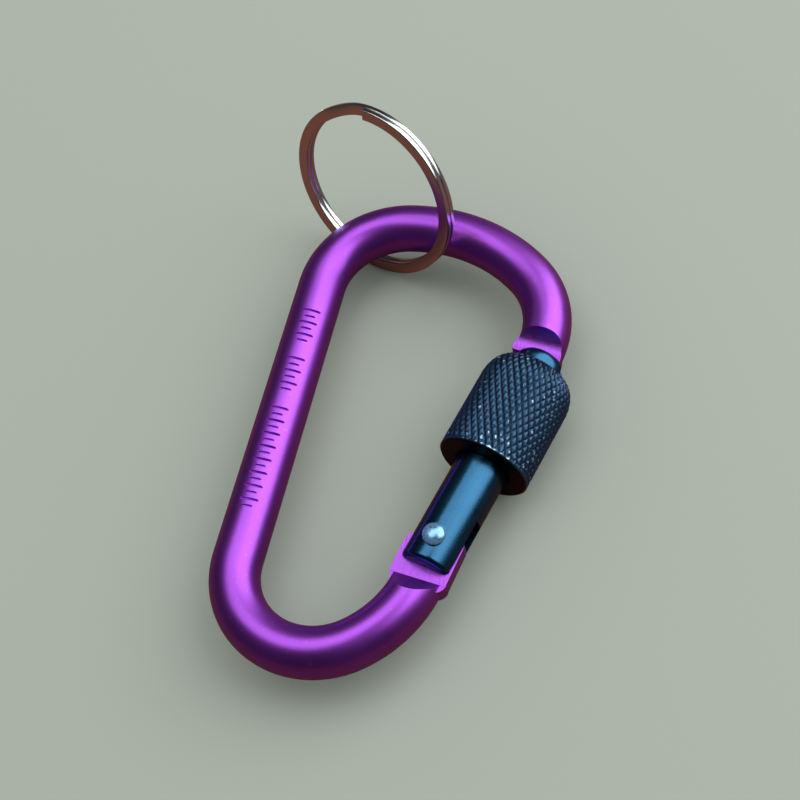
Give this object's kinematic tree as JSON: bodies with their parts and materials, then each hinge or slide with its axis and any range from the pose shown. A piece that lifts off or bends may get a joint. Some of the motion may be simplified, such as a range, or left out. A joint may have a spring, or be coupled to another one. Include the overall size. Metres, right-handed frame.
{
  "type": "carabiner keyring",
  "caption": "D-shaped locking carabiner with a sprung gate, a knurled screw sleeve and a split ring for keys on its top bend.",
  "frame": {"origin": "middle of the bounding box, at its lowest height, which is the lowest line of the locking sleeve", "axes": "+Y runs up the straight spine towards the end with the split ring, +X from the spine towards the gate, +Z out of the carabiner's own plane"},
  "size_m": [0.0472, 0.0812, 0.0272],
  "materials": {
    "purple_anodised": "glossy anodised",
    "black_anodised": "glossy black anodised",
    "black_knurled": "black anodised over a diamond knurl",
    "bright_steel": "bright",
    "spring_steel": "bright drawn wire",
    "nickel": "polished nickel plate"
  },
  "bodies": {
    "frame": {"carabiner_body": "purple_anodised", "hinge_rivet": "bright_steel"},
    "gate": {"gate_barrel": "black_anodised", "latch_pin": "bright_steel", "gate_spring": "spring_steel"},
    "sleeve": {"locking_sleeve": "black_knurled"},
    "plunger": {"spring_plunger": "spring_steel"},
    "ring": {"split_ring": "nickel"}
  },
  "joints": [
    {"name": "gate_hinge", "type": "hinge", "parent": "frame", "child": "gate", "pos_m": [0.01014, -0.0195, 0.00665], "axis": [0, 0, 1], "range_deg": [0, 30], "stiffness_Nm_per_rad": 0.05, "springref_deg": -20.05},
    {"name": "sleeve_travel", "type": "slide", "parent": "gate", "child": "sleeve", "axis": [0.2639, 0.9646, 0], "range_m": [-0.007, 0.00185]},
    {"name": "plunger_travel", "type": "slide", "parent": "gate", "child": "plunger", "axis": [0.2639, 0.9646, 0], "range_m": [0, 0.001], "deforming": ["gate_spring"]},
    {"name": "ring_swing", "type": "hinge", "parent": "frame", "child": "ring", "pos_m": [-0.00981, 0.0308, 0.00665], "axis": [0.887, 0.4617, 0], "range_deg": [-95, 75]}
  ],
  "couplings": [
    {"joint": "plunger_travel", "follows": "gate_hinge", "m_per_rad": 0.001814}
  ]
}
